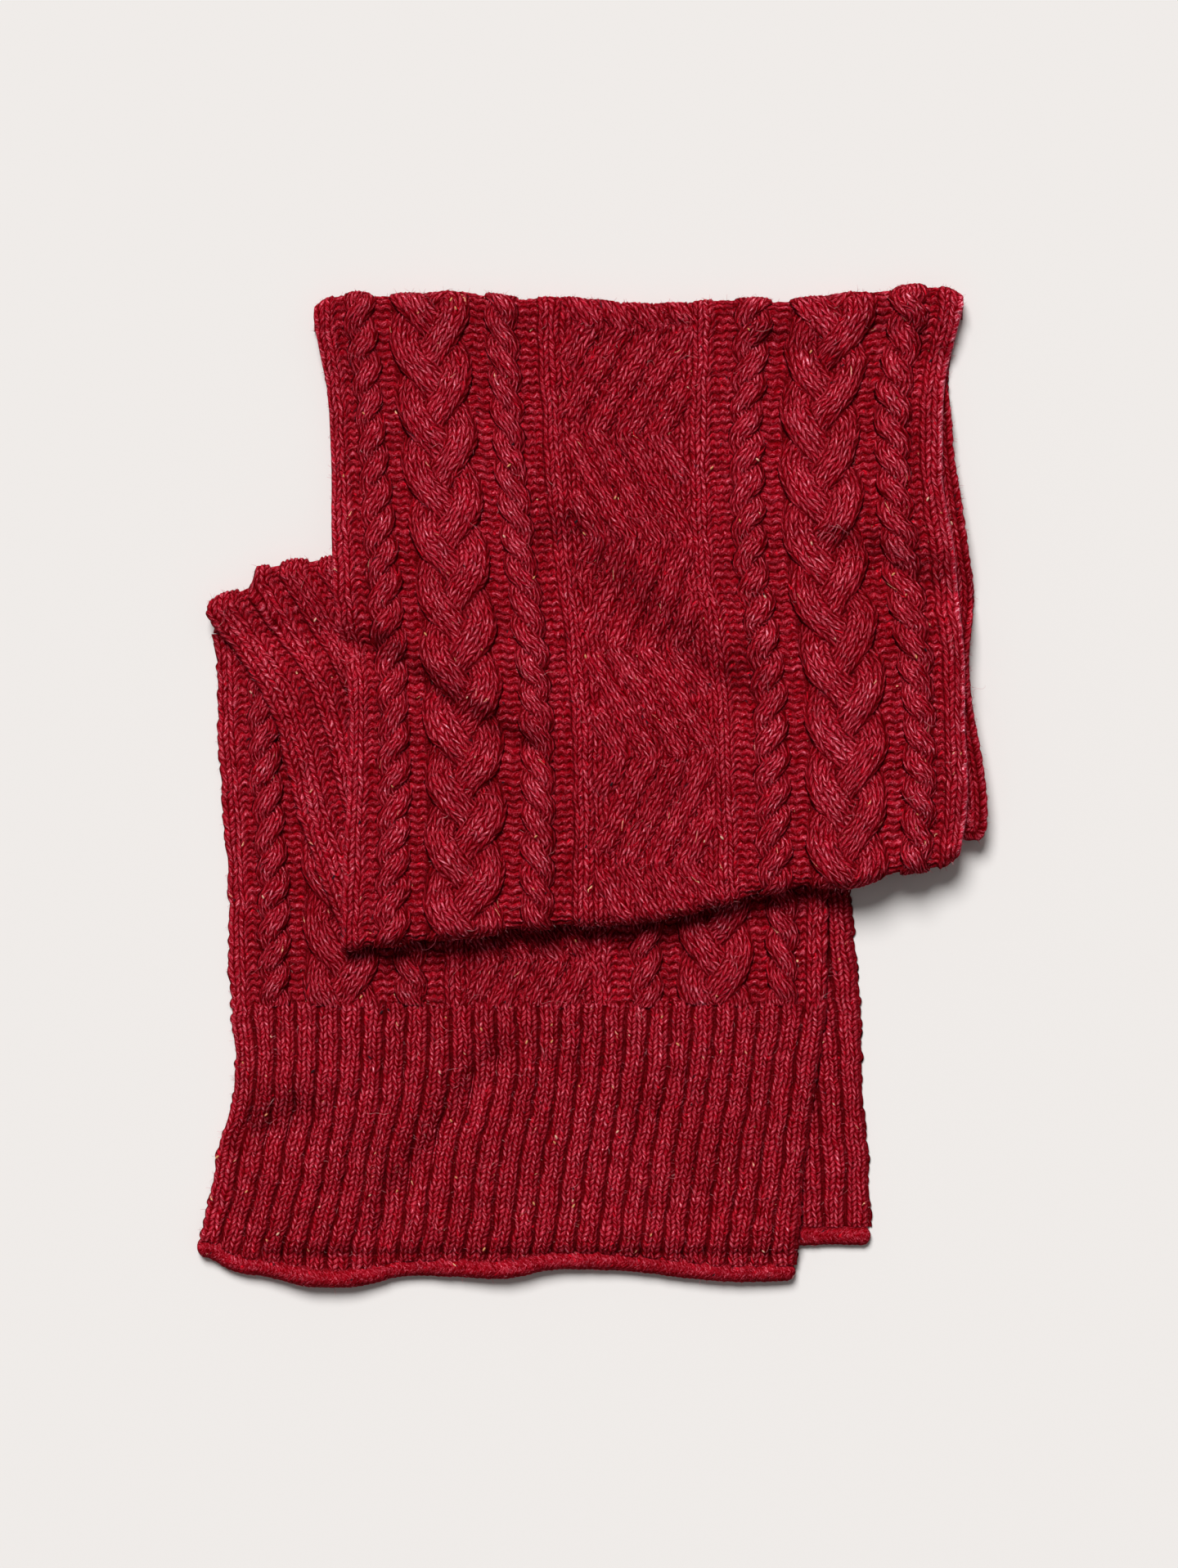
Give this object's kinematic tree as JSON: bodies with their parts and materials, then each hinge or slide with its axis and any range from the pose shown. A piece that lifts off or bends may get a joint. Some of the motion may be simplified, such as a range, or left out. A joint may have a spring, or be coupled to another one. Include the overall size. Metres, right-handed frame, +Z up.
{
  "type": "folded cable-knit scarf",
  "caption": "Long cable-knit wool scarf with ribbed, rolled-hem ends, folded in a zig-zag and laid flat on a surface.",
  "frame": {"origin": "on the surface that the scarf lies on, under the middle of its outline", "axes": "+Z up from the surface, +Y from the rolled hem towards the front panel's upper fold, +X to the right seen from above"},
  "size_m": [0.44, 0.5606, 0.0325],
  "materials": {
    "crimson_wool": "dull, slightly hairy crimson tweed wool with small orange, pale and near-black nubs"
  },
  "bodies": {
    "root": {"top_stretch": "crimson_wool", "turned_stretch": "crimson_wool", "lower_stretch": "crimson_wool", "rib_end": "crimson_wool", "hem_roll": "crimson_wool", "under_stretch": "crimson_wool", "under_hem_roll": "crimson_wool", "hidden_layers": "crimson_wool"}
  },
  "joints": []
}
